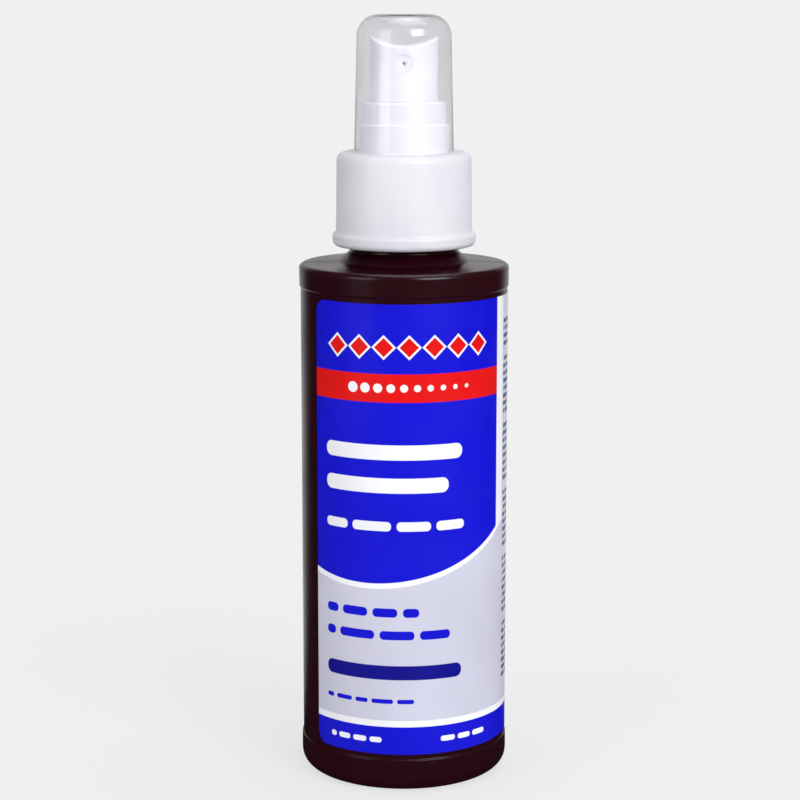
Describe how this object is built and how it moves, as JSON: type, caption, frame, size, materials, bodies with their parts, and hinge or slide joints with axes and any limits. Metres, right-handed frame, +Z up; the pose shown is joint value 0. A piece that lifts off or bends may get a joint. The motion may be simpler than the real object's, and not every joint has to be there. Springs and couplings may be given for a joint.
{
  "type": "fine-mist spray bottle",
  "caption": "Round dark brown bottle with a wrap label, a white screw-on finger pump and a clear overcap, for spraying a liquid as a fine mist.",
  "frame": {"origin": "centre of the bottle's foot, on the surface that it stands on", "axes": "+Z up along the bottle's axis; -Y is the front of the label and the way that the sprayer points"},
  "size_m": [0.042, 0.042, 0.1531],
  "materials": {
    "brown_bottle": "satin-gloss dark brown blow-moulded polyethylene",
    "label_film": "gloss printed film, blue, red and pale grey colour blocks",
    "white_plastic": "satin white polypropylene",
    "clear_plastic": "clear, slightly hazy polypropylene",
    "natural_plastic": "natural translucent polypropylene",
    "tube_plastic": "natural polyethylene tube",
    "washer_foam": "white foamed washer",
    "spring_steel": "bright stainless steel"
  },
  "bodies": {
    "bottle": {"bottle": "brown_bottle", "wrap_label": "label_film"},
    "pump": {"pump_housing": "natural_plastic", "housing_cap": "natural_plastic", "neck_gasket": "washer_foam", "dip_tube": "tube_plastic", "return_spring": "spring_steel"},
    "closure": {"closure": "white_plastic"},
    "overcap": {"overcap": "clear_plastic"},
    "plunger": {"stem": "natural_plastic", "valve_pin": "natural_plastic", "valve_spring": "spring_steel"},
    "piston": {"piston": "natural_plastic"},
    "button": {"actuator": "white_plastic", "nozzle_insert": "white_plastic"},
    "ball": {"inlet_ball": "spring_steel"}
  },
  "joints": [
    {"name": "pump_lift", "type": "slide", "parent": "bottle", "child": "pump", "axis": [0, 0, 1], "range_m": [0, 0.00476]},
    {"name": "closure_turn", "type": "hinge", "parent": "pump", "child": "closure", "pos_m": [0, 0, 0.115], "axis": [0, 0, 1], "range_deg": [0, 540]},
    {"name": "overcap_pull", "type": "slide", "parent": "closure", "child": "overcap", "axis": [0, 0, 1], "range_m": [0, 0.045]},
    {"name": "pump_stroke", "type": "slide", "parent": "pump", "child": "plunger", "axis": [0, 0, -1], "range_m": [0, 0.0055], "stiffness_N_per_m": 1200, "springref_m": -0.004, "deforming": ["return_spring"]},
    {"name": "button_turn", "type": "hinge", "parent": "plunger", "child": "button", "pos_m": [0, 0, 0.14], "axis": [0, 0, 1], "continuous": true},
    {"name": "piston_lift", "type": "slide", "parent": "plunger", "child": "piston", "axis": [0, 0, 1], "range_m": [0, 0.0006], "stiffness_N_per_m": 800, "springref_m": -0.003, "deforming": ["valve_spring"]},
    {"name": "ball_lift", "type": "slide", "parent": "pump", "child": "ball", "axis": [0, 0, 1], "range_m": [0, 0.0008]}
  ],
  "couplings": [
    {"joint": "pump_lift", "follows": "closure_turn", "m_per_rad": 0.00050532}
  ]
}
